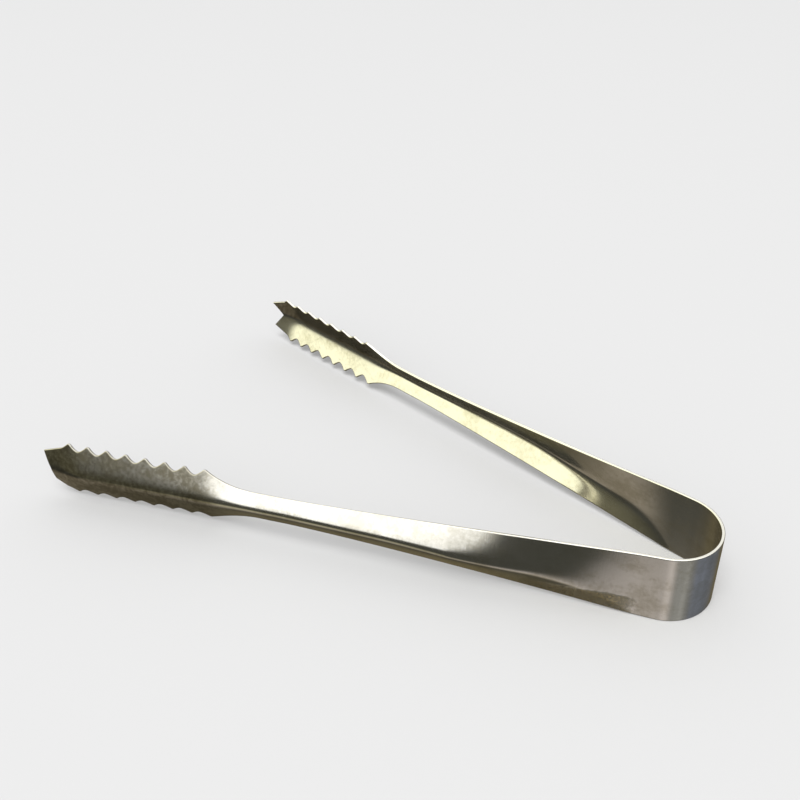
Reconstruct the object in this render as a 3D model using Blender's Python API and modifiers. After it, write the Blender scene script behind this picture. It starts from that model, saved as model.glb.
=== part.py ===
"""Ice tongs, lying on one edge: a single strip of sheet steel bent into a spring bow.

The strip's two arms are pressed to a shallow V, with its ridge outwards, and end in toothed
claws whose forked tips curl in. The real object is one piece that flexes at the bow, so the
model cuts it only where it flexes: a crown, two shoulders and two arms, on four hinge lines.

Frame: +Z up, Z = 0 under the bow's lower edge, +X towards the crown, the claws towards -X.
Y = 0 is the plane of symmetry, and X = 0 is halfway along the tongs. The left side is at -Y.
Lengths are in metres. A "run" is a distance along the middle of the sheet from the crown.
"""

import math

import bmesh
import bpy
from mathutils import Vector

# Overall sizes
OVERALL_LENGTH = 0.178
SHEET = 0.0008
BOW_WIDTH = 0.0200
BOW_RADIUS = 0.0127  # to the middle of the sheet
SPREAD = math.radians(12.6)  # each arm's angle from the centre plane where it leaves the bow
ARM_SWEEP = math.radians(2.2)  # how much further out each arm leans by its tip

# Arms: they taper from the bow to a neck behind the claws
TAPER_START_RUN = 0.0200
TAPER_SOFTNESS = 0.007  # the taper comes in over this length on each side of its start
TAPER_POWER = 1.35
NECK_WIDTH = 0.0084
NECK_LENGTH = 0.008  # the straight stretch before the flare into the claw
FLARE_LENGTH = 0.0150

# The pressed crease that makes the V section
CREASE_DEPTH = 0.0035
CREASE_START_RUN = 0.022
CREASE_FULL_RUN = 0.070
CREASE_RISE = 1.3  # 1 would press it in evenly, more presses it in sooner
CREASE_CENTRED_RUN = 0.090  # from here on the ridge is in the middle of the strip
CREASE_DROP = 0.0017  # how far below the middle the ridge is where it's deepest
CREASE_LIFT_RUN = 0.045  # nearer the bow than this the ridge falls towards the lower edge
CREASE_STEEPNESS = 1.9
CREASE_MARGIN = 0.0014  # from the ridge to the lower edge where the crease ends
CREASE_SOFT = 0.0014  # rounding of the crease
NECK_CREASE_DEPTH = 0.0024
CLAW_CREASE_DEPTH = 0.0026
TIP_CREASE_DEPTH = 0.0012

# Claws
TEETH = 8
TOOTH_PITCH = 0.0060
TOOTH_HEIGHT = 0.0019
TOOTH_SCOOP = 1.5  # 1 would give straight flanks, 2 fully scooped ones
CLAW_ROOT_WIDTH = 0.0126  # across the valleys of the first and last teeth
CLAW_END_WIDTH = 0.0134
PRONG_LENGTH = 0.0057  # from the last valley to the prong's point
PRONG_SPACING = 0.0092  # between the two points
NOTCH_DEPTH = 0.0021
LOWER_PRONG_CUT = 0.0022  # how much shorter the lower prong is
CURL_LENGTH = 0.0130
CURL_IN = 0.0008

# Flexing: two hinge lines on each side share the bow's bending evenly
FLEX_LENGTH = 0.026  # the stretch of strip, from the crown, that bends
JOINT_GAP = 0.0003

# Mesh density
CROWN_STEPS = 12
SHOULDER_STEPS = 12
TAPER_STEPS = 20
FLARE_STEPS = 6
TOOTH_STEPS = 6
PRONG_STEPS = 4
SECTION = (-1.0, -0.8, -0.5, -0.22, 0.0, 0.22, 0.5, 0.8, 1.0)  # shares of the half width

STEEL_COLOUR = (0.56, 0.54, 0.47, 1.0)
STEEL_ROUGHNESS = 0.22

# Worked out from the sizes above
HALF_BOW = BOW_WIDTH / 2
HALF_NECK = NECK_WIDTH / 2
ARC_ANGLE = math.pi / 2 - SPREAD
ARC_END_RUN = BOW_RADIUS * ARC_ANGLE
CROWN_X = OVERALL_LENGTH / 2 - SHEET / 2
ARC_END_X = CROWN_X - BOW_RADIUS * (1 - math.cos(ARC_ANGLE))
TIP_X = (CURL_IN + SHEET / 2) * math.sin(SPREAD + ARM_SWEEP) - OVERALL_LENGTH / 2
ARM_LENGTH = (ARC_END_X - TIP_X) / math.sin(ARC_ANGLE - ARM_SWEEP / 2)
PRONG_RUN = ARC_END_RUN + ARM_LENGTH
LAST_VALLEY_RUN = PRONG_RUN - PRONG_LENGTH
CLAW_RUN = LAST_VALLEY_RUN - (TEETH - 0.5) * TOOTH_PITCH  # the first tooth's point
FLARE_RUN = CLAW_RUN - FLARE_LENGTH
NECK_RUN = FLARE_RUN - NECK_LENGTH
BOW_HINGE_RUN = FLEX_LENGTH / 4
ARM_HINGE_RUN = FLEX_LENGTH * 3 / 4


def ease(start, end, value):
    """0 before start, 1 after end, and a smooth step between them."""
    share = min(max((value - start) / (end - start), 0.0), 1.0)
    return share * share * (3 - 2 * share)


def mix(first, second, share):
    """The value that lies that share of the way from first to second."""
    return first + (second - first) * share


def outward(angle, side):
    """The sheet's outward direction in plan where it has turned by that angle from the crown."""
    return Vector((math.cos(angle), side * math.sin(angle), 0.0))


def along(angle, side):
    """The strip's own direction in plan, away from the crown, at that angle."""
    return Vector((-math.sin(angle), side * math.cos(angle), 0.0))


def plan_point(run, side):
    """Place in plan and outward normal of the sheet's middle at that run, at side -1 or 1."""
    angle = min(run / BOW_RADIUS, ARC_ANGLE)
    past_arc = max(run - ARC_END_RUN, 0.0)
    swept = ARM_SWEEP * past_arc / ARM_LENGTH
    centre = Vector((CROWN_X - BOW_RADIUS, 0.0, HALF_BOW))
    place = centre + outward(angle, side) * BOW_RADIUS + along(angle - swept / 2, side) * past_arc
    return place, outward(angle - swept, side)


def valley_half_width(run):
    """Half width across the tooth valleys, which widens a little towards the claw's end."""
    return mix(CLAW_ROOT_WIDTH, CLAW_END_WIDTH, (run - CLAW_RUN) / (LAST_VALLEY_RUN - CLAW_RUN)) / 2


def body_half_width(run):
    """Half width of the strip, leaving out the teeth."""
    if run > LAST_VALLEY_RUN:
        return mix(CLAW_END_WIDTH, PRONG_SPACING, (run - LAST_VALLEY_RUN) / PRONG_LENGTH) / 2
    if run > FLARE_RUN:
        return mix(HALF_NECK, valley_half_width(max(run, CLAW_RUN)), ease(FLARE_RUN, CLAW_RUN, run))
    past = run - TAPER_START_RUN
    rounded = min(max(past + TAPER_SOFTNESS, 0.0), 2 * TAPER_SOFTNESS)
    tapered = rounded**2 / (4 * TAPER_SOFTNESS) + max(past - TAPER_SOFTNESS, 0.0)
    left = max(1 - tapered / (NECK_RUN - TAPER_START_RUN), 0.0)
    return mix(HALF_NECK, HALF_BOW, left**TAPER_POWER)


def edge_half_width(run):
    """Half width of the strip at its edge, teeth included."""
    if run <= FLARE_RUN:
        return body_half_width(run)
    first_point = valley_half_width(CLAW_RUN) + TOOTH_HEIGHT
    if run < CLAW_RUN:
        return mix(HALF_NECK, first_point, ((run - FLARE_RUN) / FLARE_LENGTH) ** 2)
    from_valley = abs(2 * ((run - CLAW_RUN) / TOOTH_PITCH % 1.0) - 1)
    return valley_half_width(run) + TOOTH_HEIGHT * from_valley**TOOTH_SCOOP


def crease_depth(run):
    """How far the ridge stands out from the strip's edges, leaving out the teeth."""
    towards_neck = min(max((run - CREASE_FULL_RUN) / (NECK_RUN - CREASE_FULL_RUN), 0.0), 1.0)
    depth = mix(CREASE_DEPTH, NECK_CREASE_DEPTH, towards_neck)
    unpressed = (CREASE_FULL_RUN - run) / (CREASE_FULL_RUN - CREASE_START_RUN)
    depth *= 1 - min(max(unpressed, 0.0), 1.0) ** CREASE_RISE
    depth = mix(depth, CLAW_CREASE_DEPTH, ease(FLARE_RUN, CLAW_RUN, run))
    return mix(depth, TIP_CREASE_DEPTH, ease(PRONG_RUN - CURL_LENGTH, PRONG_RUN, run))


def curl_in(run):
    """How far the claw's end has curled towards the other claw."""
    return CURL_IN * max(1 - (PRONG_RUN - run) / CURL_LENGTH, 0.0) ** 2


def ridge_height(run):
    """Where the ridge is: in the middle at the claw, and down at the edge near the bow."""
    drop = CREASE_DROP * (1 - ease(CREASE_LIFT_RUN, CREASE_CENTRED_RUN, run))
    to_end = (CREASE_LIFT_RUN - run) / (CREASE_LIFT_RUN - CREASE_START_RUN)
    fallen = min(max(to_end, 0.0), 1.0) ** CREASE_STEEPNESS
    return -mix(drop, body_half_width(run) - CREASE_MARGIN, fallen)


def section_offset(run, height):
    """How far outside the plan line the sheet's middle is, at a height over its middle line."""
    ridge = ridge_height(run)
    from_ridge = height - ridge
    reach = body_half_width(run) - math.copysign(1.0, from_ridge) * ridge
    slope_left = math.hypot(reach, CREASE_SOFT) - math.hypot(from_ridge, CREASE_SOFT)
    slope_all = math.hypot(reach, CREASE_SOFT) - CREASE_SOFT
    return crease_depth(run) * slope_left / slope_all - curl_in(run)


def strip_point(run, share, side):
    """A point on the middle of the sheet. share goes from -1, the lower edge, to 1, the upper."""
    if run > LAST_VALLEY_RUN:
        height = share * body_half_width(run)
        cut = NOTCH_DEPTH * (1 - abs(share)) + LOWER_PRONG_CUT * max(-share, 0.0)
        run -= cut * (run - LAST_VALLEY_RUN) / PRONG_LENGTH
    elif abs(share) == 1.0:
        height = share * edge_half_width(run)
    else:
        ridge = ridge_height(run)
        height = ridge + share * body_half_width(run) - abs(share) * ridge
    place, normal = plan_point(run, side)
    return place + normal * section_offset(run, height) + Vector((0.0, 0.0, height))


def evenly(start, end, steps):
    """The ends of that many even steps, both ends included."""
    return [mix(start, end, step / steps) for step in range(steps + 1)]


def arm_runs():
    """Where the arm's mesh has its rows: coarse on the arm, and each tooth's point and valley."""
    start = ARM_HINGE_RUN + JOINT_GAP / 2
    teeth_steps = int((TEETH - 0.5) * TOOTH_STEPS)
    return (
        evenly(start, FLARE_RUN, TAPER_STEPS)
        + evenly(FLARE_RUN, CLAW_RUN, FLARE_STEPS)[1:]
        + evenly(CLAW_RUN, LAST_VALLEY_RUN, teeth_steps)[1:]
        + evenly(LAST_VALLEY_RUN, PRONG_RUN, PRONG_STEPS)[1:]
    )


def steel(name):
    """A polished steel material."""
    material = bpy.data.materials.new(name)
    material.use_nodes = True
    shader = material.node_tree.nodes["Principled BSDF"]
    shader.inputs["Base Color"].default_value = STEEL_COLOUR
    shader.inputs["Metallic"].default_value = 1.0
    shader.inputs["Roughness"].default_value = STEEL_ROUGHNESS
    return material


def sheet_piece(name, points, origin, holder, collection):
    """One piece of the strip: a grid laid through rows of points, then given its thickness.

    points[row][column] are places in the tongs' frame, with columns from the lower edge to the
    upper. The piece's own origin is put at origin, and holder, if there is one, carries it.
    """
    grid = bmesh.new()
    rows, columns = len(points) - 1, len(points[0]) - 1
    bmesh.ops.create_grid(grid, x_segments=rows, y_segments=columns, size=1.0)
    for vertex in grid.verts:
        row = round((vertex.co.x + 1) / 2 * rows)
        column = round((vertex.co.y + 1) / 2 * columns)
        vertex.co = points[row][column] - origin
    mesh = bpy.data.meshes.new(name)
    grid.to_mesh(mesh)
    grid.free()
    mesh.shade_smooth()
    mesh.materials.append(steel(name + "_steel"))
    piece = bpy.data.objects.new(name, mesh)
    collection.objects.link(piece)
    if holder is None:
        piece.location = origin
    else:
        piece.parent = holder
    thickness = piece.modifiers.new("sheet", "SOLIDIFY")
    thickness.thickness = SHEET
    thickness.offset = 0.0
    thickness.use_even_offset = True
    return piece


def hinge_line(name, run, side, holder, collection):
    """An empty on a line where the strip flexes, carried by the line before it."""
    place, _ = plan_point(run, side)
    line = bpy.data.objects.new(name, None)
    line.empty_display_size = HALF_BOW
    collection.objects.link(line)
    line.location = place if holder is None else place - holder.location
    line.parent = holder
    return line


def crown(collection):
    """The middle of the bow, between the two bow hinge lines."""
    end = BOW_HINGE_RUN - JOINT_GAP / 2
    runs = evenly(-end, end, CROWN_STEPS)
    points = [[strip_point(abs(run), share, 1 if run > 0 else -1) for share in (-1.0, 1.0)] for run in runs]
    origin, _ = plan_point(0.0, 1)
    return sheet_piece("bow_crown", points, origin, None, collection)


def limb(name, side, collection):
    """One side of the tongs: a shoulder of the bow, then an arm with its claw."""
    bow_line = hinge_line(name + "_bow_flex", BOW_HINGE_RUN, side, None, collection)
    arm_line = hinge_line(name + "_arm_flex", ARM_HINGE_RUN, side, bow_line, collection)
    shoulder_runs = evenly(
        BOW_HINGE_RUN + JOINT_GAP / 2, ARM_HINGE_RUN - JOINT_GAP / 2, SHOULDER_STEPS
    )
    for piece, runs, hinge_run, line, section in (
        (name + "_shoulder", shoulder_runs, BOW_HINGE_RUN, bow_line, (-1.0, 1.0)),
        (name + "_arm", arm_runs(), ARM_HINGE_RUN, arm_line, SECTION),
    ):
        points = [[strip_point(run, share, side) for share in section] for run in runs]
        if side < 0:
            points.reverse()  # so that the grid's faces look outwards on both sides
        sheet_piece(piece, points, plan_point(hinge_run, side)[0], line, collection)


def main():
    """Clears the scene and builds the tongs."""
    for old in list(bpy.data.objects):
        bpy.data.objects.remove(old)
    tongs = bpy.data.collections.new("ice_tongs")
    bpy.context.scene.collection.children.link(tongs)
    crown(tongs)
    limb("left", -1, tongs)
    limb("right", 1, tongs)


main()
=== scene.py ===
"""Looks of the ice tongs: one strip of worn sheet steel, bent to a spring bow with toothed claws.

The strip is made as four closed pieces that meet face to face: two halves of the bow and two
arms.

Frame: metres, +Z up, Z = 0 under the bow's lower edge, +X towards the crown of the bow. A
"run" is a distance along the middle of the sheet from the crown, and a "height" is measured
from the strip's middle line, half way up the bow.
"""

import logging
import math
from dataclasses import dataclass, field
from enum import Enum

import bmesh
import bpy
from mathutils import Matrix, Vector


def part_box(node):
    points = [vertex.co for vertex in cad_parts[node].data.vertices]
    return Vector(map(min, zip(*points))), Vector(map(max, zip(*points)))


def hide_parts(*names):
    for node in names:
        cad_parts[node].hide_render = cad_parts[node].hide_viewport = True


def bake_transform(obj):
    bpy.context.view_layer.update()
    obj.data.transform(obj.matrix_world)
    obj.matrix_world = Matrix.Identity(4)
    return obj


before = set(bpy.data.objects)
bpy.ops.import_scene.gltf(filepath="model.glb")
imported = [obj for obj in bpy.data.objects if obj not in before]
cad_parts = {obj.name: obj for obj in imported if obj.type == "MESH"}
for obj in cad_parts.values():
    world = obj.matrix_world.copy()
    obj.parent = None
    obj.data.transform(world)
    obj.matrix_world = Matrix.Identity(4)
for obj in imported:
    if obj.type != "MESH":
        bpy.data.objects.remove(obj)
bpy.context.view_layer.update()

log = logging.getLogger("ice_tongs")

STRIP_PLACE = "strip_place"  # attribute: signed run, height, distance out from mid sheet
SHARP_ANGLE = math.radians(40)
NORMAL_STEP = 2e-5
SEAM_TOLERANCE = 1e-7
MIX_FACTOR, MIX_FIRST, MIX_SECOND = 0, 6, 7  # the Mix node's inputs for colours
MIX_RESULT = 2


class Side(Enum):
    """The two sides of the tongs, valued as the sign of their Y."""

    LEFT = -1
    RIGHT = 1


class Skin(Enum):
    """The two faces of the sheet, valued as the sign of their distance from its middle."""

    OUTER = 1
    INNER = -1


def mix(first: float, second: float, share: float) -> float:
    """The value that lies that share of the way from first to second."""
    return first + (second - first) * share


def ease(start: float, end: float, value: float) -> float:
    """0 before start, 1 after end, and a smooth step between them."""
    share = min(max((value - start) / (end - start), 0.0), 1.0)
    return share * share * (3 - 2 * share)


def evenly(start: float, end: float, step: float) -> list[float]:
    """Values from start to end, both included, at most a step apart.

    Args:
        start: The first value.
        end: The last value.
        step: The widest spacing.

    Returns:
        The values in order.
    """
    count = max(math.ceil((end - start) / step), 1)
    return [mix(start, end, index / count) for index in range(count + 1)]


@dataclass(frozen=True)
class HandMade:
    """What differs from one side to the other: the crease's end near the bow, and the prongs."""

    drop: float
    lift_run: float
    steepness: float
    notch_depth: float
    lower_prong_cut: float


@dataclass
class Strip:
    """The design of the strip: its plan line, its outline and its pressed section."""

    overall_length: float
    bow_width: float
    sides: dict[Side, HandMade]
    sheet: float = 0.0008
    bow_radius: float = 0.0127
    spread: float = math.radians(12.6)
    arm_sweep: float = math.radians(2.2)

    taper_start_run: float = 0.0200
    taper_softness: float = 0.007
    taper_power: float = 1.35
    neck_width: float = 0.0084
    neck_length: float = 0.008
    flare_length: float = 0.0150

    crease_depth: float = 0.0035
    neck_crease_depth: float = 0.0024
    crease_start_run: float = 0.022
    crease_full_run: float = 0.070
    crease_rise: float = 1.3
    crease_centred_run: float = 0.090
    crease_margin: float = 0.0014
    crease_soft: float = 0.0014
    claw_crease_soft: float = 0.0013
    claw_crease_depth: float = 0.0026
    tip_crease_depth: float = 0.0012

    teeth: int = 8
    tooth_pitch: float = 0.0060
    tooth_height: float = 0.0019
    tooth_scoop: float = 1.5
    claw_root_width: float = 0.0126
    claw_end_width: float = 0.0134
    prong_length: float = 0.0057
    prong_spacing: float = 0.0092
    curl_length: float = 0.0130
    curl_in: float = 0.0008
    curl_power: float = 1.6

    def __post_init__(self) -> None:
        """Works out the places that follow from the sizes."""
        self.half_bow = self.bow_width / 2
        self.half_neck = self.neck_width / 2
        self.arc_angle = math.pi / 2 - self.spread
        self.arc_end_run = self.bow_radius * self.arc_angle
        self.crown_x = self.overall_length / 2 - self.sheet / 2
        arc_end_x = self.crown_x - self.bow_radius * (1 - math.cos(self.arc_angle))
        tip_lean = math.sin(self.spread + self.arm_sweep)
        tip_x = (self.curl_in + self.sheet / 2) * tip_lean - self.overall_length / 2
        self.arm_length = (arc_end_x - tip_x) / math.sin(self.arc_angle - self.arm_sweep / 2)
        self.prong_run = self.arc_end_run + self.arm_length
        self.last_valley_run = self.prong_run - self.prong_length
        self.claw_run = self.last_valley_run - (self.teeth - 0.5) * self.tooth_pitch
        self.flare_run = self.claw_run - self.flare_length
        self.neck_run = self.flare_run - self.neck_length

    def plan_point(self, run: float, side: Side) -> tuple[Vector, Vector]:
        """Place in plan and outward normal of the sheet's middle.

        Args:
            run: Distance from the crown.
            side: Which side of the tongs.

        Returns:
            The point at the strip's middle height, and the horizontal outward normal.
        """
        sign = side.value
        angle = min(run / self.bow_radius, self.arc_angle)
        past_arc = max(run - self.arc_end_run, 0.0)
        swept = self.arm_sweep * past_arc / self.arm_length
        centre = Vector((self.crown_x - self.bow_radius, 0.0, self.half_bow))
        spoke = Vector((math.cos(angle), sign * math.sin(angle), 0.0))
        chord = angle - swept / 2
        ahead = Vector((-math.sin(chord), sign * math.cos(chord), 0.0))
        facing = angle - swept
        normal = Vector((math.cos(facing), sign * math.sin(facing), 0.0))
        return centre + spoke * self.bow_radius + ahead * past_arc, normal

    def valley_half_width(self, run: float) -> float:
        """Half width across the tooth valleys, a little wider towards the claw's end."""
        share = (run - self.claw_run) / (self.last_valley_run - self.claw_run)
        return mix(self.claw_root_width, self.claw_end_width, share) / 2

    def body_half_width(self, run: float) -> float:
        """Half width of the strip, leaving out the teeth."""
        if run > self.last_valley_run:
            share = (run - self.last_valley_run) / self.prong_length
            return mix(self.claw_end_width, self.prong_spacing, share) / 2
        if run > self.flare_run:
            claw = self.valley_half_width(max(run, self.claw_run))
            return mix(self.half_neck, claw, ease(self.flare_run, self.claw_run, run))
        past = run - self.taper_start_run
        rounded = min(max(past + self.taper_softness, 0.0), 2 * self.taper_softness)
        tapered = rounded**2 / (4 * self.taper_softness) + max(past - self.taper_softness, 0.0)
        left = max(1 - tapered / (self.neck_run - self.taper_start_run), 0.0)
        return mix(self.half_neck, self.half_bow, left**self.taper_power)

    def edge_half_width(self, run: float) -> float:
        """Half width of the strip at its cut edge, teeth included."""
        if run <= self.flare_run or run > self.last_valley_run:
            return self.body_half_width(run)
        if run < self.claw_run:
            first_point = self.valley_half_width(self.claw_run) + self.tooth_height
            share = (run - self.flare_run) / self.flare_length
            return mix(self.half_neck, first_point, share**2)
        from_valley = abs(2 * ((run - self.claw_run) / self.tooth_pitch % 1.0) - 1)
        return self.valley_half_width(run) + self.tooth_height * from_valley**self.tooth_scoop

    def ridge_depth(self, run: float) -> float:
        """How far the ridge stands out from the strip's edges."""
        to_neck = (run - self.crease_full_run) / (self.neck_run - self.crease_full_run)
        depth = mix(self.crease_depth, self.neck_crease_depth, min(max(to_neck, 0.0), 1.0))
        unpressed = (self.crease_full_run - run) / (self.crease_full_run - self.crease_start_run)
        depth *= 1 - min(max(unpressed, 0.0), 1.0) ** self.crease_rise
        depth = mix(depth, self.claw_crease_depth, ease(self.flare_run, self.claw_run, run))
        curl_start = self.prong_run - self.curl_length
        return mix(depth, self.tip_crease_depth, ease(curl_start, self.prong_run, run))

    def ridge_height(self, run: float, side: Side) -> float:
        """Where the ridge is: in the middle at the claw, and down at the edge near the bow."""
        end = self.sides[side]
        drop = end.drop * (1 - ease(end.lift_run, self.crease_centred_run, run))
        lowest = self.body_half_width(run) - self.crease_margin
        to_end = (end.lift_run - run) / (end.lift_run - self.crease_start_run)
        return -mix(drop, lowest, min(max(to_end, 0.0), 1.0) ** end.steepness)

    def section_offset(self, run: float, height: float, side: Side) -> float:
        """How far outside the plan line the sheet's middle is.

        Args:
            run: Distance from the crown.
            height: Height over the strip's middle line.
            side: Which side of the tongs.

        Returns:
            The offset. Short of the curl it is nought at both edges and most at the ridge.
        """
        rounding = mix(
            self.crease_soft, self.claw_crease_soft, ease(self.flare_run, self.claw_run, run)
        )
        ridge = self.ridge_height(run, side)
        half = self.body_half_width(run)
        reach = half - ridge if height > ridge else half + ridge
        slope_left = math.hypot(reach, rounding) - math.hypot(height - ridge, rounding)
        slope_all = math.hypot(reach, rounding) - rounding
        curled = max(1 - (self.prong_run - run) / self.curl_length, 0.0) ** self.curl_power
        return self.ridge_depth(run) * slope_left / slope_all - self.curl_in * curled

    def surface(self, run: float, height: float, side: Side) -> Vector:
        """The point of the sheet's middle surface at that run and height."""
        place, normal = self.plan_point(run, side)
        offset = self.section_offset(run, height, side)
        return place + normal * offset + Vector((0.0, 0.0, height))

    def surface_normal(self, run: float, height: float, side: Side) -> Vector:
        """The outward unit normal of the sheet's middle surface there."""
        before = self.surface(run - NORMAL_STEP, height, side)
        below = self.surface(run, height - NORMAL_STEP, side)
        along = self.surface(run + NORMAL_STEP, height, side) - before
        across = self.surface(run, height + NORMAL_STEP, side) - below
        normal = along.cross(across).normalized()
        return normal if normal.dot(self.plan_point(run, side)[1]) > 0 else -normal

    def lay(self, run: float, share: float, rim: float, side: Side) -> tuple[float, float]:
        """Run and height of a point of the piece's grid.

        Args:
            run: The row's run, before the notch between the prongs is cut.
            share: From -1 at the lower edge to 1 at the upper edge.
            rim: How much of the edge the outermost columns follow, from 0 to 1.
            side: Which side of the tongs.

        Returns:
            The point's own run and its height.
        """
        if run > self.last_valley_run:
            height = share * self.body_half_width(run)
            made = self.sides[side]
            cut = made.notch_depth * (1 - abs(share)) + made.lower_prong_cut * max(-share, 0.0)
            return run - cut * (run - self.last_valley_run) / self.prong_length, height
        body = share * self.body_half_width(run)
        edge = share * self.edge_half_width(run)
        return run, mix(body, edge, rim)


class Socket:
    """An output of a shader node. Its operators add Math nodes."""

    def __init__(self, graph: "Graph", socket: bpy.types.NodeSocket) -> None:
        """Keeps the output and the graph that it belongs to."""
        self.graph = graph
        self.socket = socket

    def maths(self, operation: str, *values: "Socket | float") -> "Socket":
        """Adds one Math node.

        Args:
            operation: The Math node's operation.
            values: Its inputs in order.

        Returns:
            The node's result.
        """
        return self.graph.node("ShaderNodeMath", {"operation": operation}, dict(enumerate(values)))

    def __add__(self, other: "Socket | float") -> "Socket":
        """This value plus the other."""
        return self.maths("ADD", self, other)

    def __radd__(self, other: float) -> "Socket":
        """The other value plus this one."""
        return self.maths("ADD", other, self)

    def __sub__(self, other: "Socket | float") -> "Socket":
        """This value minus the other."""
        return self.maths("SUBTRACT", self, other)

    def __rsub__(self, other: float) -> "Socket":
        """The other value minus this one."""
        return self.maths("SUBTRACT", other, self)

    def __mul__(self, other: "Socket | float") -> "Socket":
        """This value times the other."""
        return self.maths("MULTIPLY", self, other)

    def __rmul__(self, other: float) -> "Socket":
        """The other value times this one."""
        return self.maths("MULTIPLY", other, self)

    def __abs__(self) -> "Socket":
        """This value without its sign."""
        return self.maths("ABSOLUTE", self)


class Graph:
    """Builds a node tree for a material or for the surroundings."""

    def __init__(self, tree: bpy.types.NodeTree) -> None:
        """Empties the tree.

        Args:
            tree: The node tree to fill.
        """
        self.tree = tree
        tree.nodes.clear()

    def node(
        self,
        kind: str,
        settings: dict | None = None,
        inputs: dict | None = None,
        output: int | str = 0,
    ) -> Socket:
        """Adds a node.

        Args:
            kind: The node's type.
            settings: Its properties, which are set first.
            inputs: Values or Sockets, by input name or index.
            output: The output to return.

        Returns:
            That output.
        """
        made = self.tree.nodes.new(kind)
        for name, value in (settings or {}).items():
            setattr(made, name, value)
        for key, value in (inputs or {}).items():
            if isinstance(value, Socket):
                self.tree.links.new(value.socket, made.inputs[key])
            else:
                made.inputs[key].default_value = value
        return Socket(self, made.outputs[output]) if made.outputs else Socket(self, None)

    def step(self, value: Socket, low: float, high: float) -> Socket:
        """0 where value is below low, 1 above high, smooth between. low may be the larger."""
        return self.node(
            "ShaderNodeMapRange",
            {"interpolation_type": "SMOOTHSTEP"},
            {"Value": value, "From Min": low, "From Max": high},
        )

    def blend(self, factor: Socket | float, first: Socket | tuple, second: Socket | tuple) -> Socket:
        """The colour that lies that share of the way from first to second."""
        colours = [c if isinstance(c, Socket) else (*c, 1.0) for c in (first, second)]
        return self.node(
            "ShaderNodeMix",
            {"data_type": "RGBA"},
            {MIX_FACTOR: factor, MIX_FIRST: colours[0], MIX_SECOND: colours[1]},
            output=MIX_RESULT,
        )

    def stretch(self, vector: Socket, scale: tuple[float, float, float]) -> Socket:
        """The vector, with each axis scaled by itself."""
        return self.node("ShaderNodeVectorMath", {"operation": "MULTIPLY"}, {0: vector, 1: scale})

    def noise(self, vector: Socket, scale: float, detail: float, rough: float) -> Socket:
        """Soft noise from 0 to 1, about 0.5 on average.

        Args:
            vector: Where it is read.
            scale: Blotches a unit.
            detail: How many finer layers it has.
            rough: How strong the finer layers are.

        Returns:
            The noise.
        """
        return self.node(
            "ShaderNodeTexNoise",
            {},
            {"Vector": vector, "Scale": scale, "Detail": detail, "Roughness": rough},
        )

    def parts(self, vector: Socket) -> tuple[Socket, Socket, Socket]:
        """The three numbers of a vector."""
        split = self.node("ShaderNodeSeparateXYZ", {}, {0: vector}).socket.node
        return tuple(Socket(self, split.outputs[index]) for index in range(3))


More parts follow.
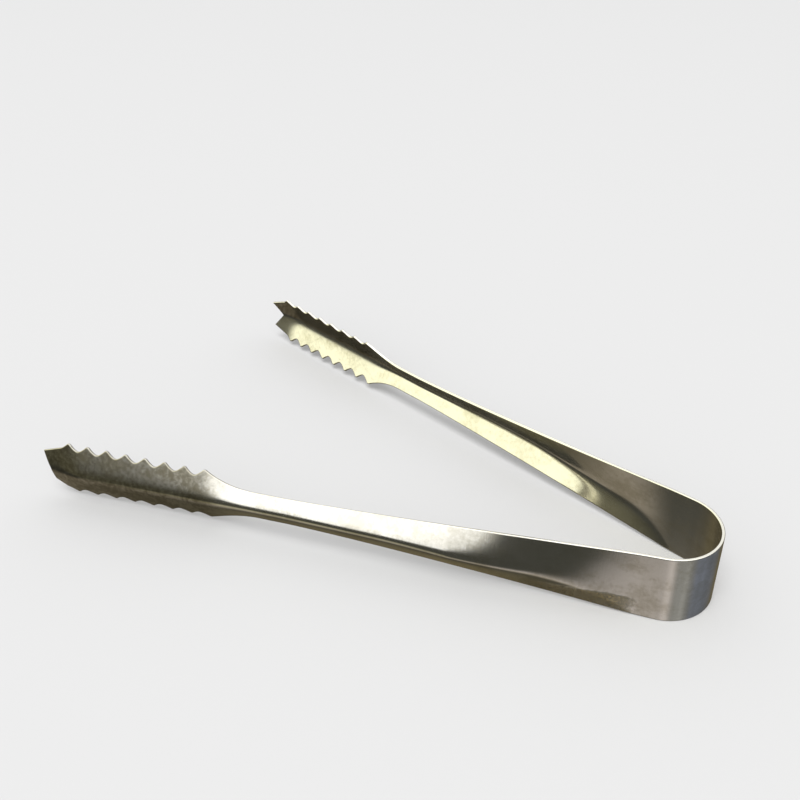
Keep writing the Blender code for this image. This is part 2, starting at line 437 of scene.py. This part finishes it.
@dataclass(frozen=True)
class WornSteel:
    """Polished steel with tarnished claws, painted shade on their inner upper facets, fine brushing
    across it and a pitted patch.
    """

    clean: tuple[float, float, float] = (0.76, 0.74, 0.69)
    dulled: tuple[float, float, float] = (0.56, 0.53, 0.44)
    # Dark olive of the tarnished claws and the pits; also painted shade on the claws' inner upper
    # facets.
    tarnish_and_shade: tuple[float, float, float] = (0.15, 0.13, 0.075)
    worn: tuple[float, float, float] = (0.90, 0.88, 0.82)
    gilt: tuple[float, float, float] = (0.86, 0.70, 0.36)
    roughness: float = 0.12
    dull_roughness: float = 0.30
    rim_roughness: float = 0.18
    cloud_scale: float = 130.0
    mottle_scale: float = 800.0
    brush_scale: float = 3000.0
    brush_stretch: tuple[float, float, float] = (1.0, 0.06, 1.0)
    pit_scale: float = 5200.0
    pit_runs: tuple[float, float] = (0.018, 0.056)
    pit_run_fades: tuple[float, float] = (0.013, 0.014)
    pit_top: float = -0.0034
    pit_fade: float = 0.0015
    claw_fade: tuple[float, float] = (-0.007, 0.003)
    rim_shares: tuple[float, float] = (0.38, 0.47)
    bump_strength: float = 0.30
    bump_depth: float = 0.00003

    def material(self, strip: Strip) -> bpy.types.Material:
        """Makes the material.

        Args:
            strip: The strip's design, which gives the places of its claws and edges.

        Returns:
            The material.
        """
        steel = bpy.data.materials.new("worn_steel")
        steel.use_nodes = True
        graph = Graph(steel.node_tree)
        place = graph.node(
            "ShaderNodeAttribute", {"attribute_name": STRIP_PLACE}, output="Vector"
        )
        signed_run, height, out = graph.parts(place)
        run = abs(signed_run)
        apart = graph.stretch(place, (1.0, 1.0, 40.0))  # keeps the two skins' marks unlike

        cloud = graph.noise(graph.stretch(apart, (0.7, 1.0, 1.0)), self.cloud_scale, 4.0, 0.6)
        mottle = graph.noise(apart, self.mottle_scale, 4.0, 0.7)
        brushed = graph.noise(graph.stretch(apart, self.brush_stretch), self.brush_scale, 3.0, 0.6)
        pits = graph.noise(apart, self.pit_scale, 2.0, 0.6)

        outer = graph.step(out, -0.0003, 0.0003)
        upper = graph.step(height, -0.0004, 0.0010)
        claw = graph.step(run, *(strip.claw_run + fade for fade in self.claw_fade))
        rim = 1 - graph.step(abs(out), *(strip.sheet * share for share in self.rim_shares))
        left = graph.step(signed_run, 0.001, -0.001)
        first, last = self.pit_runs
        pitted = left * outer * graph.step(height, self.pit_top, self.pit_top - self.pit_fade)
        pitted = pitted * graph.step(run, first, first + self.pit_run_fades[0])
        pitted = pitted * graph.step(run, last, last - self.pit_run_fades[1])
        pitted = pitted * graph.step(pitted * 0.6 + cloud * 0.3 + mottle * 0.5, 0.48, 0.72)

        smudge = graph.step(cloud * 0.7 + mottle * 0.3, 0.42, 0.64)
        # Claws darkened all over on the outer skin (tarnished); on the inner skin only the upper
        # facet, which faces down, is darkened: painted shade.
        claw_tarnish_and_shade = claw * (outer * 0.80 + (1 - outer) * upper * 0.95)
        claw_tarnish_and_shade = claw_tarnish_and_shade * (0.6 + 0.4 * graph.step(mottle * 0.6 + cloud * 0.4, 0.40, 0.60))
        colour = graph.blend(smudge * 0.7, self.clean, self.dulled)
        colour = graph.blend(claw_tarnish_and_shade, colour, self.tarnish_and_shade)
        colour = graph.blend(pitted * graph.step(pits, 0.54, 0.42), colour, self.tarnish_and_shade)
        colour = graph.blend(pitted * graph.step(pits, 0.52, 0.60), colour, self.gilt)
        colour = graph.blend(rim * (1 - claw * 0.4), colour, self.worn)

        dull = smudge * 0.25 + claw * 0.30 + mottle * 0.25
        rough = self.roughness + dull * (self.dull_roughness - self.roughness)
        rough = rough + rim * (self.rim_roughness - rough)
        grain = brushed * 0.55 + mottle * 0.40 + pitted * graph.step(pits, 0.42, 0.58) * 7.0
        bump = graph.node(
            "ShaderNodeBump",
            {},
            {"Strength": self.bump_strength, "Distance": self.bump_depth, "Height": grain},
        )
        shader = graph.node(
            "ShaderNodeBsdfPrincipled",
            {},
            {"Base Color": colour, "Metallic": 1.0, "Roughness": rough, "Normal": bump},
        )
        graph.node("ShaderNodeOutputMaterial", {}, {"Surface": shader})
        return steel


@dataclass
class StripPiece:
    """One closed piece of the strip between two runs, on one side of the tongs."""

    name: str
    strip: Strip
    side: Side
    start_run: float
    end_run: float
    bodies: tuple[str, str]
    bend_runs: tuple[float, float]
    stands_for: tuple[str, ...]
    step: float = 0.0006
    columns: int = 13
    column_power: float = 1.25
    rim_margin: float = 0.00034
    rim_round: float = 0.00020
    rim_segments: int = 4
    seam_step: float = 0.00005

    def rows(self) -> list[float]:
        """The runs of the grid's rows, with a very short first and last step at a seam."""
        inner = evenly(self.start_run + self.seam_step, self.end_run - self.seam_step, self.step)
        return [self.start_run] + inner + [self.end_run]

    def shares(self) -> list[float]:
        """The columns' shares of the half width, closer together along the ridge."""
        half = [(index / self.columns) ** self.column_power for index in range(1, self.columns + 1)]
        return [-share for share in reversed(half)] + [0.0] + half

    def open_ended(self) -> bool:
        """Whether the far end is a cut end of the strip, and not a seam."""
        return self.end_run >= self.strip.prong_run

    def grid_place(self, run: float, share: float, column: int, last: int) -> tuple[float, float]:
        """Run and height of one grid point, with a narrow band of faces along the cut edge."""
        if column in (0, last):
            return self.strip.lay(run, share, 1.0, self.side)
        if column in (1, last - 1):
            full = self.strip.lay(run, math.copysign(1.0, share), 1.0, self.side)[1]
            inset = (abs(full) - self.rim_margin) / abs(full)
            return self.strip.lay(run, math.copysign(inset, share), 1.0, self.side)
        half = self.strip.body_half_width(run)
        inner = half - 2 * self.rim_margin
        ridge = self.strip.ridge_height(run, self.side)
        height = ridge + share * inner - abs(share) * ridge
        return self.strip.lay(run, height / half, 0.0, self.side)

    def solid(self) -> bmesh.types.BMesh:
        """Builds the piece: a grid laid on the sheet, extruded to its thickness, edges rounded.

        Returns:
            The bmesh, which the caller frees.
        """
        strip, rows, shares = self.strip, self.rows(), self.shares()
        mesh = bmesh.new()
        place = mesh.verts.layers.float_vector.new(STRIP_PLACE)
        last_row, last_column = len(rows) - 1, len(shares) - 1
        bmesh.ops.create_grid(mesh, x_segments=last_row, y_segments=last_column, size=1.0)
        for vertex in mesh.verts:
            row = round((vertex.co.x + 1) / 2 * last_row)
            column = round((vertex.co.y + 1) / 2 * last_column)
            run, height = self.grid_place(rows[row], shares[column], column, last_column)
            vertex[place] = (run, height, Skin.OUTER.value * strip.sheet / 2)
        extruded = bmesh.ops.extrude_face_region(mesh, geom=mesh.faces[:])["geom"]
        for vertex in (item for item in extruded if isinstance(item, bmesh.types.BMVert)):
            vertex[place].z = Skin.INNER.value * strip.sheet / 2
        for vertex in mesh.verts:
            run, height, out = vertex[place]
            normal = strip.surface_normal(run, height, self.side)
            vertex.co = strip.surface(run, height, self.side) + normal * out
        bmesh.ops.recalc_face_normals(mesh, faces=mesh.faces[:])
        self.round_edges(mesh, place)
        for vertex in mesh.verts:
            run, height, _ = vertex[place]
            normal = strip.surface_normal(run, height, self.side)
            out = (vertex.co - strip.surface(run, height, self.side)).dot(normal)
            vertex[place] = (self.side.value * run, height, out)
        return mesh

    def round_edges(self, mesh: bmesh.types.BMesh, place: bmesh.types.BMLayerItem) -> None:
        """Rounds the cut edges of the sheet, but not the faces that meet the next piece.

        Args:
            mesh: The closed piece.
            place: The layer that holds each vertex's run, height and skin.
        """
        seams = [self.start_run] if self.open_ended() else [self.start_run, self.end_run]

        def on_seam(edge: bmesh.types.BMEdge) -> bool:
            """Whether the edge lies in the plane of a seam."""
            runs = [vertex[place].x for vertex in edge.verts]
            return any(max(abs(run - seam) for run in runs) < SEAM_TOLERANCE for seam in seams)

        def is_cut(face: bmesh.types.BMFace) -> bool:
            """Whether the face spans the sheet's thickness."""
            return len({vertex[place].z > 0 for vertex in face.verts}) == 2

        rims = [
            edge
            for edge in mesh.edges
            if edge.verts[0][place].z * edge.verts[1][place].z > 0
            and len({is_cut(face) for face in edge.link_faces}) == 2
            and not on_seam(edge)
        ]
        bmesh.ops.bevel(
            mesh,
            geom=rims,
            offset=self.rim_round,
            offset_type="OFFSET",
            segments=self.rim_segments,
            profile=0.5,
            affect="EDGES",
            clamp_overlap=False,
            material=-1,
        )

    def build(self, steel: bpy.types.Material) -> bpy.types.Object:
        """Makes the object, dresses it and hides the CAD parts that it stands for.

        Args:
            steel: The material.

        Returns:
            The object.
        """
        solid = self.solid()
        data = bpy.data.meshes.new(self.name)
        solid.to_mesh(data)
        solid.free()
        data.shade_smooth()
        data.set_sharp_from_angle(angle=SHARP_ANGLE)
        data.materials.append(steel)
        piece = bpy.data.objects.new(self.name, data)
        bpy.context.scene.collection.objects.link(piece)
        start, end = (self.strip.plan_point(run, self.side)[0] for run in self.bend_runs)
        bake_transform(piece)
        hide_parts(*self.stands_for)
        log.info("%s: %d faces, on %s and %s", self.name, len(data.polygons), *self.bodies)
        return piece


@dataclass
class Limb:
    """One side of the tongs: half of the bow, and the arm with its claw."""

    strip: Strip
    side: Side
    seam_run: float = 0.0130
    bend_margin: float = 0.0010

    def build(self, steel: bpy.types.Material) -> list[bpy.types.Object]:
        """Builds both pieces of this side.

        Args:
            steel: The material.

        Returns:
            The bow half and the arm.
        """
        name = self.side.name.lower()
        bend, limb = f"{name}_bend", f"{name}_limb"
        bow_half = StripPiece(
            name=f"{name}_bow_half",
            strip=self.strip,
            side=self.side,
            start_run=0.0,
            end_run=self.seam_run,
            bodies=("bow", bend),
            bend_runs=(self.bend_margin, self.seam_run - self.bend_margin),
            stands_for=("bow_crown",),
        )
        arm = StripPiece(
            name=f"{name}_arm_and_claw",
            strip=self.strip,
            side=self.side,
            start_run=self.seam_run,
            end_run=self.strip.prong_run,
            bodies=(bend, limb),
            bend_runs=(self.seam_run + self.bend_margin, 2 * self.seam_run - self.bend_margin),
            stands_for=(f"{name}_shoulder", f"{name}_arm"),
        )
        return [piece.build(steel) for piece in (bow_half, arm)]


@dataclass(frozen=True)
class Glow:
    """A soft patch of the surroundings, round a direction, that the steel mirrors."""

    axis: tuple[float, float, float]
    inner: float
    outer: float
    colour: tuple[float, float, float]


GLOWS = (
    Glow(axis=(-0.03, -0.975, 0.22), inner=8, outer=13, colour=(1.9, 1.9, 1.85)),
    Glow(axis=(-0.17, -0.745, -0.64), inner=5, outer=15, colour=(0.42, 0.39, 0.27)),
    Glow(axis=(0.80, 0.28, -0.54), inner=6, outer=46, colour=(0.19, 0.21, 0.26)),
    Glow(axis=(0.58, -0.40, -0.71), inner=5, outer=26, colour=(0.37, 0.37, 0.355)),
    Glow(axis=(0.33, -0.65, -0.686), inner=2, outer=17, colour=(0.62, 0.57, 0.54)),
    Glow(axis=(-0.45, -0.87, -0.20), inner=6, outer=20, colour=(0.17, 0.16, 0.10)),
)


@dataclass
class Studio:
    """The floor, the surroundings that the steel mirrors, the lamp and the camera."""

    floor_size: float = 8.0
    floor_colour: tuple[float, float, float] = (0.600, 0.600, 0.598)
    ambient_colour: tuple[float, float, float] = (0.92, 0.92, 0.925)

    sky_axis: tuple[float, float, float] = (-0.408, 0.0, 0.913)
    sky_starts: tuple[float, float] = (0.29, 0.36)
    sky_creams: tuple[float, float] = (-0.30, -0.50)
    sky_cream: tuple[float, float, float] = (1.48, 1.47, 1.08)
    sky_white: tuple[float, float, float] = (1.9, 1.9, 1.85)
    sky_behind: tuple[float, float, float] = (0.98, 0.98, 0.94)
    side_colour: tuple[float, float, float] = (0.15, 0.125, 0.07)
    front_dark: tuple[float, float, float] = (0.060, 0.060, 0.050)
    front_ground: tuple[float, float, float] = (0.36, 0.32, 0.26)
    front_depths: tuple[float, float] = (0.40, -0.70)
    behind_depths: tuple[float, float] = (0.2, 0.6)
    ground_starts: tuple[float, float] = (-0.94, -0.80)
    ground_ends: tuple[float, float] = (-0.63, -0.71)
    uneven_share: float = 0.35

    lamp_distance: float = 8.0
    lamp_size: float = 5.2
    lamp_power: float = 380.0
    lamp_azimuth: float = math.radians(-75)
    lamp_elevation: float = math.radians(68)

    target: Vector = field(default_factory=lambda: Vector((-0.0192, 0.0379, 0.010)))
    camera_distance: float = 0.3049
    camera_azimuth: float = math.radians(30.94)
    camera_elevation: float = math.radians(32.4)
    camera_roll: float = math.radians(-0.35)
    lens: float = 42.2
    shift: tuple[float, float] = (-0.02145, -0.02177)

    def build(self) -> None:
        """Makes all of the studio."""
        self.floor()
        self.surroundings()
        self.lamp()
        self.camera()

    def floor(self) -> None:
        """A plain pale floor, which the steel doesn't mirror."""
        mesh = bmesh.new()
        bmesh.ops.create_grid(mesh, x_segments=1, y_segments=1, size=self.floor_size / 2)
        data = bpy.data.meshes.new("floor")
        mesh.to_mesh(data)
        mesh.free()
        paint = bpy.data.materials.new("floor_paint")
        paint.use_nodes = True
        graph = Graph(paint.node_tree)
        shader = graph.node(
            "ShaderNodeBsdfPrincipled",
            {},
            {"Base Color": (*self.floor_colour, 1.0), "Roughness": 1.0, "Specular IOR Level": 0.0},
        )
        graph.node("ShaderNodeOutputMaterial", {}, {"Surface": shader})
        data.materials.append(paint)
        floor = bpy.data.objects.new("floor", data)
        floor.visible_glossy = False
        bpy.context.scene.collection.objects.link(floor)

    def surroundings(self) -> None:
        """What the steel mirrors: a wide light that leans to the claws, and a dim room below."""
        world = bpy.data.worlds.new("studio")
        bpy.context.scene.world = world
        world.use_nodes = True
        graph = Graph(world.node_tree)
        direction = graph.node("ShaderNodeTexCoord", output="Generated")
        across, depth, rise = graph.parts(direction)

        def towards(axis: tuple[float, float, float]) -> Socket:
            """How nearly each direction points along the axis, 1 at most."""
            return graph.node(
                "ShaderNodeVectorMath",
                {"operation": "DOT_PRODUCT"},
                {0: direction, 1: Vector(axis).normalized()},
                output="Value",
            )

        ground = graph.step(rise, *self.ground_starts) * graph.step(rise, *self.ground_ends)
        low = graph.blend(ground, self.front_dark, self.front_ground)
        low = graph.blend(graph.step(depth, *self.front_depths), self.side_colour, low)
        for glow in GLOWS:
            reach = [math.cos(math.radians(angle)) for angle in (glow.outer, glow.inner)]
            low = graph.blend(graph.step(towards(glow.axis), *reach), low, glow.colour)
        uneven = graph.step(graph.noise(direction, 3.0, 3.0, 0.6), 0.38, 0.62)
        low = graph.blend(uneven * self.uneven_share, low, self.front_dark)
        lifted = towards(self.sky_axis)
        sky = graph.blend(graph.step(across, *self.sky_creams), self.sky_white, self.sky_cream)
        sky = graph.blend(graph.step(depth, *self.behind_depths), sky, self.sky_behind)
        colour = graph.blend(graph.step(lifted, *self.sky_starts), low, sky)
        mirrored = graph.node("ShaderNodeLightPath", output="Is Glossy Ray")
        colour = graph.blend(mirrored, self.ambient_colour, colour)
        shader = graph.node("ShaderNodeBackground", {}, {"Color": colour, "Strength": 1.0})
        graph.node("ShaderNodeOutputWorld", {}, {"Surface": shader})

    def lamp(self) -> None:
        """A soft lamp high on the left arm's side, which gives the shadows their direction."""
        light = bpy.data.lights.new("lamp", "AREA")
        light.shape = "DISK"
        light.size = self.lamp_size
        light.energy = self.lamp_power
        lamp = bpy.data.objects.new("lamp", light)
        towards = Vector(
            (
                math.cos(self.lamp_azimuth) * math.cos(self.lamp_elevation),
                math.sin(self.lamp_azimuth) * math.cos(self.lamp_elevation),
                math.sin(self.lamp_elevation),
            )
        )
        lamp.location = towards * self.lamp_distance
        lamp.rotation_euler = towards.to_track_quat("Z", "Y").to_euler()
        lamp.visible_glossy = False
        bpy.context.scene.collection.objects.link(lamp)

    def camera(self) -> None:
        """The camera, which looks down across both arms from the bow's end, on the left side."""
        azimuth, elevation = self.camera_azimuth, self.camera_elevation
        back = Vector(
            (
                math.sin(azimuth) * math.cos(elevation),
                -math.cos(azimuth) * math.cos(elevation),
                math.sin(elevation),
            )
        )
        aim = back.to_track_quat("Z", "Y").to_matrix().to_4x4()
        data = bpy.data.cameras.new("camera")
        data.lens = self.lens
        data.shift_x, data.shift_y = self.shift
        data.clip_start = self.camera_distance / 100
        camera = bpy.data.objects.new("camera", data)
        place = Matrix.Translation(self.target + back * self.camera_distance)
        camera.matrix_world = place @ aim @ Matrix.Rotation(self.camera_roll, 4, "Z")
        bpy.context.scene.collection.objects.link(camera)
        bpy.context.scene.camera = camera


def main() -> None:
    """Builds the tongs and the studio."""
    logging.basicConfig(level=logging.INFO, format="%(message)s")
    bpy.context.scene.view_settings.view_transform = "Standard"
    low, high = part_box("bow_crown")
    strip = Strip(
        overall_length=2 * high.x,
        bow_width=high.z - low.z,
        sides={
            Side.LEFT: HandMade(
                drop=0.0015,
                lift_run=0.050,
                steepness=1.6,
                notch_depth=0.0021,
                lower_prong_cut=0.0022,
            ),
            Side.RIGHT: HandMade(
                drop=0.0019,
                lift_run=0.040,
                steepness=2.2,
                notch_depth=0.0034,
                lower_prong_cut=0.0,
            ),
        },
    )
    steel = WornSteel().material(strip)
    pieces = [piece for side in Side for piece in Limb(strip, side).build(steel)]
    log.info("%d pieces of strip", len(pieces))
    Studio().build()


if __name__ == "__main__":
    main()
